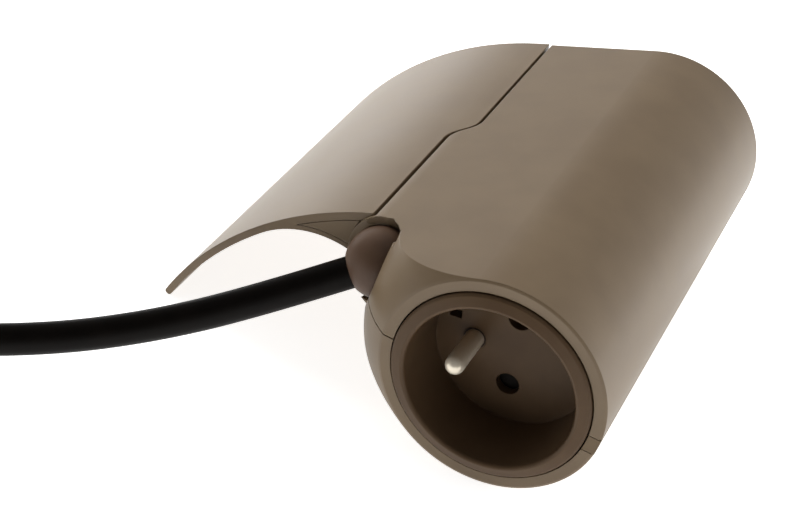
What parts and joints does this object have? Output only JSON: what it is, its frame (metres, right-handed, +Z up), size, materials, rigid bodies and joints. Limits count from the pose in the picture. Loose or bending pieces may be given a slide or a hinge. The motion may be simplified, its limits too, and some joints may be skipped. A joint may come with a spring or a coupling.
{
  "type": "furniture socket",
  "caption": "Cylindrical furniture power socket with a plug well in each end, a curved hinged wing that grips a panel edge, and a cord with plug.",
  "frame": {"origin": "middle of the bounding box of the object without its cord, on the surface it rests on", "axes": "+Y along the cylinder, from the socket seen in the picture to the far end; +Z up; -X towards the wing"},
  "size_m": [0.3047, 0.1873, 0.056],
  "materials": {
    "shell_plastic": "satin moulded taupe plastic",
    "wing_plastic": "satin moulded taupe plastic",
    "insert_plastic": "satin moulded brown plastic",
    "key_plastic": "satin moulded plastic",
    "block_plastic": "matt moulded plastic",
    "shutter_plastic": "matt moulded plastic",
    "grey_nylon": "matt nylon",
    "nickel": "satin nickel plating",
    "steel": "zinc plated steel",
    "brass": "stamped brass",
    "gland_rubber": "soft moulded brown",
    "cord_jacket": "satin black cord jacket",
    "tie_rubber": "soft black strap",
    "plug_plastic": "moulded black plastic",
    "core_brown": "wire insulation",
    "core_blue": "wire insulation",
    "core_green_yellow": "wire insulation"
  },
  "bodies": {
    "housing": {"upper_shell": "shell_plastic", "lower_shell": "shell_plastic", "hinge_rod": "steel", "hinge_washers": "grey_nylon", "socket_insert_front": "insert_plastic", "socket_insert_rear": "insert_plastic", "earth_pin_front": "nickel", "earth_pin_rear": "nickel", "contact_block_front": "block_plastic", "contact_block_rear": "block_plastic", "line_bar": "brass", "neutral_bar": "brass", "earth_bar": "brass", "shutter_spring_front": "steel", "shutter_spring_rear": "steel", "lock_key": "key_plastic", "shell_screws": "steel", "cable_gland": "gland_rubber", "core_line": "core_brown", "core_neutral": "core_blue", "core_earth": "core_green_yellow", "cord_lead": "cord_jacket", "cord_coil": "cord_jacket", "cord_tail": "cord_jacket", "cord_tie": "tie_rubber", "plug_body": "plug_plastic", "plug_pins": "nickel", "plug_earth_clips": "nickel"},
    "wing": {"wing": "wing_plastic", "wing_cap_front": "wing_plastic", "wing_cap_rear": "wing_plastic"},
    "shutter_front": {"shutter_front": "shutter_plastic"},
    "shutter_rear": {"shutter_rear": "shutter_plastic"}
  },
  "joints": [
    {"name": "wing_hinge", "type": "hinge", "parent": "housing", "child": "wing", "pos_m": [-0.0025, 0, 0.0363], "axis": [0, -1, 0], "range_deg": [0, 50]},
    {"name": "shutter_front_slide", "type": "slide", "parent": "housing", "child": "shutter_front", "axis": [0, 0, 1], "range_m": [0, 0.0064], "stiffness_N_per_m": 60, "springref_m": -0.003, "deforming": ["shutter_spring_front"]},
    {"name": "shutter_rear_slide", "type": "slide", "parent": "housing", "child": "shutter_rear", "axis": [0, 0, 1], "range_m": [0, 0.0064], "stiffness_N_per_m": 60, "springref_m": -0.003, "deforming": ["shutter_spring_rear"]}
  ]
}
